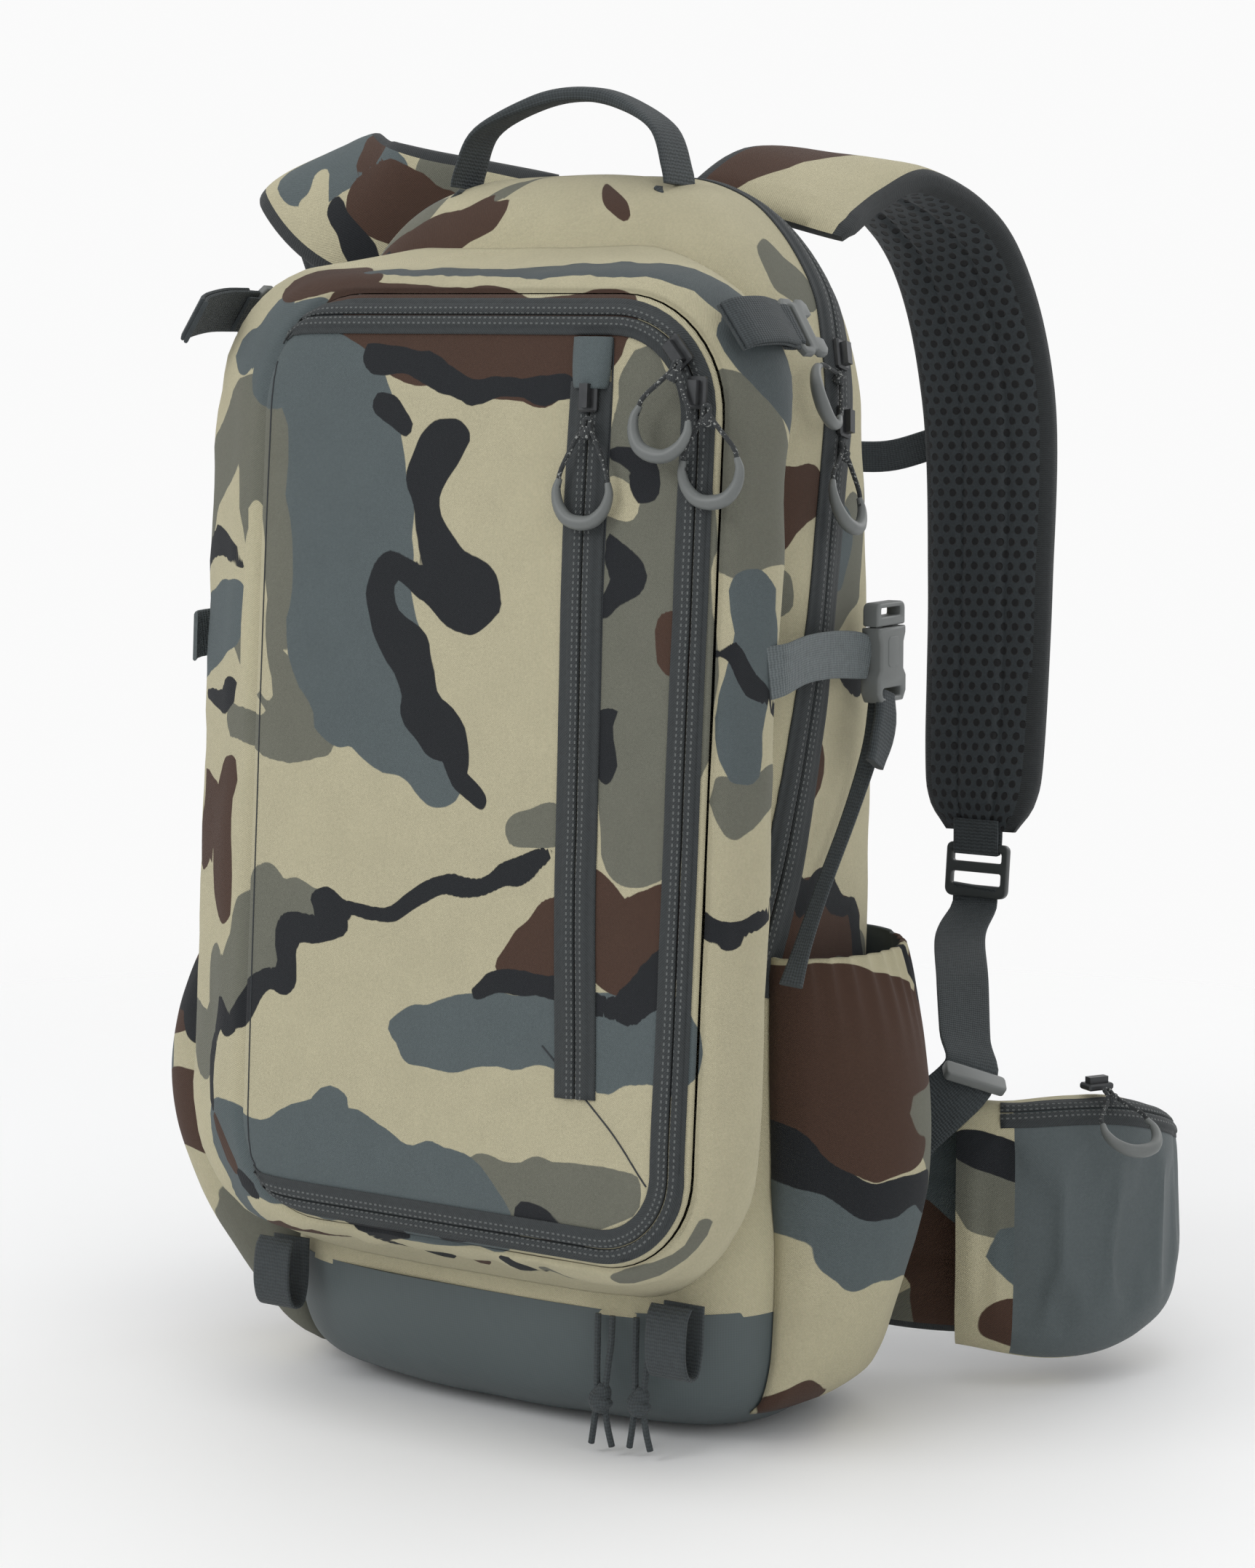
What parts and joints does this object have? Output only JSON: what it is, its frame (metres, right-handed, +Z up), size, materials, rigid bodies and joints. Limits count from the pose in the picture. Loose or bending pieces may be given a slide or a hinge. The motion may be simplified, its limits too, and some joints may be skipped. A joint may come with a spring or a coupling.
{
  "type": "hunting backpack",
  "caption": "Camouflage day backpack with a hinged zipped front compartment, side pockets, padded shoulder straps and a belt with zipped pockets.",
  "frame": {"origin": "on the ground plane under the middle of the packed bag's base, halfway between the sides", "axes": "+Z up along the back, +Y towards the wearer's back, +X towards the right side as seen from the front panel"},
  "size_m": [0.4778, 0.3861, 0.5743],
  "materials": {
    "camo_fabric": "woven twill",
    "coated_fabric": "coated, low sheen",
    "webbing": "ribbed weave",
    "spacer_mesh": "open knit",
    "zip_tape": "knitted",
    "moulded_plastic": "satin",
    "slider_metal": "dark satin",
    "pull_cord": "braided",
    "frame_plastic": "matt",
    "frame_aluminium": "mill"
  },
  "bodies": {
    "pack": {"back_panel": "camo_fabric", "side_panel_right": "camo_fabric", "side_panel_left": "camo_fabric", "body_front_panel": "camo_fabric", "base_panel": "coated_fabric", "main_zipper": "zip_tape", "frame_sheet": "frame_plastic", "frame_stay": "frame_aluminium", "back_pad": "spacer_mesh", "front_pocket_shell": "camo_fabric", "side_pocket_right": "camo_fabric", "side_pocket_left": "camo_fabric", "top_strap_right": "webbing", "top_strap_left": "webbing", "side_strap_right": "webbing", "side_strap_left": "webbing", "side_buckle_socket_right": "moulded_plastic", "side_buckle_socket_left": "moulded_plastic", "shoulder_strap_right": "spacer_mesh", "shoulder_strap_left": "spacer_mesh", "shoulder_webbing_right": "webbing", "shoulder_webbing_left": "webbing", "sternum_strap_left": "webbing", "sternum_buckle_socket": "moulded_plastic", "haul_handle": "webbing", "tool_loop_right": "webbing", "tool_loop_left": "webbing", "hem_cord_inner": "pull_cord", "hem_cord_outer": "pull_cord"},
    "front_panel": {"front_panel": "camo_fabric"},
    "pocket_slider": {"pocket_slider": "slider_metal"},
    "panel_slider_lower": {"panel_slider_lower": "slider_metal"},
    "panel_slider_upper": {"panel_slider_upper": "slider_metal"},
    "main_slider_upper": {"main_slider_upper": "slider_metal"},
    "main_slider_lower": {"main_slider_lower": "slider_metal"},
    "belt_wing_right": {"belt_wing_right": "camo_fabric", "belt_pocket_right": "camo_fabric", "belt_webbing_right": "webbing", "belt_buckle_socket": "moulded_plastic"},
    "belt_slider_right": {"belt_slider_right": "slider_metal"},
    "belt_wing_left": {"belt_wing_left": "camo_fabric", "belt_pocket_left": "camo_fabric", "belt_webbing_left": "webbing", "belt_buckle_plug": "moulded_plastic"},
    "belt_slider_left": {"belt_slider_left": "slider_metal"},
    "pocket_pull": {"pocket_pull": "moulded_plastic"},
    "panel_pull_upper": {"panel_pull_upper": "moulded_plastic"},
    "panel_pull_lower": {"panel_pull_lower": "moulded_plastic"},
    "main_pull_upper": {"main_pull_upper": "moulded_plastic"},
    "main_pull_lower": {"main_pull_lower": "moulded_plastic"},
    "belt_pull_right": {"belt_pull_right": "moulded_plastic"},
    "belt_pull_left": {"belt_pull_left": "moulded_plastic"},
    "sternum_plug": {"sternum_buckle_plug": "moulded_plastic", "sternum_strap_right": "webbing"},
    "side_plug_right": {"side_buckle_plug_right": "moulded_plastic"},
    "side_plug_left": {"side_buckle_plug_left": "moulded_plastic"},
    "ladder_lock_right": {"ladder_lock_right": "moulded_plastic"},
    "ladder_lock_left": {"ladder_lock_left": "moulded_plastic"},
    "top_hook_right": {"top_hook_right": "moulded_plastic"},
    "top_hook_left": {"top_hook_left": "moulded_plastic"}
  },
  "joints": [
    {"name": "front_panel_hinge", "type": "hinge", "parent": "pack", "child": "front_panel", "pos_m": [-0.1, -0.12793, 0.133], "axis": [0, -0.0728, -0.9973], "range_deg": [0, 100]},
    {"name": "pocket_zip", "type": "slide", "parent": "front_panel", "child": "pocket_slider", "axis": [0, -0.0728, -0.9973], "range_m": [0, 0.27]},
    {"name": "panel_zip_lower", "type": "slide", "parent": "front_panel", "child": "panel_slider_lower", "axis": [0, -0.0728, -0.9973], "range_m": [0, 0.29]},
    {"name": "panel_zip_upper", "type": "hinge", "parent": "front_panel", "child": "panel_slider_upper", "pos_m": [0.081, -0.10574, 0.437], "axis": [0, -0.9973, 0.0728], "range_deg": [0, 42]},
    {"name": "main_zip_upper", "type": "slide", "parent": "pack", "child": "main_slider_upper", "axis": [-0.2413, 0.2354, 0.9415], "range_m": [0, 0.03]},
    {"name": "main_zip_lower", "type": "slide", "parent": "pack", "child": "main_slider_lower", "axis": [0.1464, -0.2399, -0.9597], "range_m": [0, 0.03]},
    {"name": "belt_wing_right_flex", "type": "hinge", "parent": "pack", "child": "belt_wing_right", "pos_m": [0.10221, 0.08505, 0.07], "axis": [0, 0, 1], "range_deg": [0, 30]},
    {"name": "belt_zip_right", "type": "hinge", "parent": "belt_wing_right", "child": "belt_slider_right", "pos_m": [0.105, 0.165, 0.133], "axis": [0.121, 0.2096, 0.9703], "range_deg": [0, 28]},
    {"name": "belt_wing_left_flex", "type": "hinge", "parent": "pack", "child": "belt_wing_left", "pos_m": [-0.10221, 0.08505, 0.07], "axis": [0, 0, -1], "range_deg": [0, 30]},
    {"name": "belt_zip_left", "type": "hinge", "parent": "belt_wing_left", "child": "belt_slider_left", "pos_m": [-0.105, 0.165, 0.133], "axis": [0.121, -0.2096, -0.9703], "range_deg": [0, 28]},
    {"name": "pocket_pull_swing", "type": "hinge", "parent": "pocket_slider", "child": "pocket_pull", "pos_m": [0.074, -0.11587, 0.438], "axis": [-0.9988, 0, 0.0499], "range_deg": [0, 110]},
    {"name": "panel_pull_upper_swing", "type": "hinge", "parent": "panel_slider_upper", "child": "panel_pull_upper", "pos_m": [0.11717, -0.11597, 0.461], "axis": [-0.9701, 0, 0.2425], "range_deg": [0, 110]},
    {"name": "panel_pull_lower_swing", "type": "hinge", "parent": "panel_slider_lower", "child": "panel_pull_lower", "pos_m": [0.129, -0.11414, 0.444], "axis": [-0.9926, -0.0972, -0.0726], "range_deg": [0, 110]},
    {"name": "main_pull_upper_swing", "type": "hinge", "parent": "main_slider_upper", "child": "main_pull_upper", "pos_m": [0.12049, 0.0058, 0.45318], "axis": [-0.1963, -0.3729, 0.9069], "range_deg": [0, 50]},
    {"name": "main_pull_lower_swing", "type": "hinge", "parent": "main_slider_lower", "child": "main_pull_lower", "pos_m": [0.12542, -0.00126, 0.42496], "axis": [-0.0175, -0.9344, 0.3557], "range_deg": [0, 65]},
    {"name": "belt_pull_right_swing", "type": "hinge", "parent": "belt_slider_right", "child": "belt_pull_right", "pos_m": [0.20026, 0.11, 0.1345], "axis": [-0.5, -0.866, 0], "range_deg": [0, 90]},
    {"name": "belt_pull_left_swing", "type": "hinge", "parent": "belt_slider_left", "child": "belt_pull_left", "pos_m": [-0.20026, 0.11, 0.1345], "axis": [-0.5, 0.866, 0], "range_deg": [0, 90]},
    {"name": "sternum_release", "type": "slide", "parent": "pack", "child": "sternum_plug", "axis": [0.984, 0.1778, 0.0146], "range_m": [0, 0.018]},
    {"name": "side_release_right", "type": "slide", "parent": "pack", "child": "side_plug_right", "axis": [0, 0, 1], "range_m": [0, 0.02]},
    {"name": "side_release_left", "type": "slide", "parent": "pack", "child": "side_plug_left", "axis": [0, 0, 1], "range_m": [0, 0.02]},
    {"name": "ladder_lock_right_swing", "type": "hinge", "parent": "pack", "child": "ladder_lock_right", "pos_m": [0.09, 0.1975, 0.226], "axis": [1, 0, 0], "range_deg": [0, 45]},
    {"name": "ladder_lock_left_swing", "type": "hinge", "parent": "pack", "child": "ladder_lock_left", "pos_m": [-0.123, 0.186, 0.226], "axis": [1, 0, 0], "range_deg": [0, 45]},
    {"name": "top_hook_right_swing", "type": "hinge", "parent": "pack", "child": "top_hook_right", "pos_m": [0.13343, -0.0585, 0.47371], "axis": [0.5577, 0.0814, -0.8261], "range_deg": [0, 45]},
    {"name": "top_hook_left_swing", "type": "hinge", "parent": "pack", "child": "top_hook_left", "pos_m": [-0.14662, -0.0585, 0.47944], "axis": [0.5419, -0.121, 0.8317], "range_deg": [0, 45]}
  ]
}
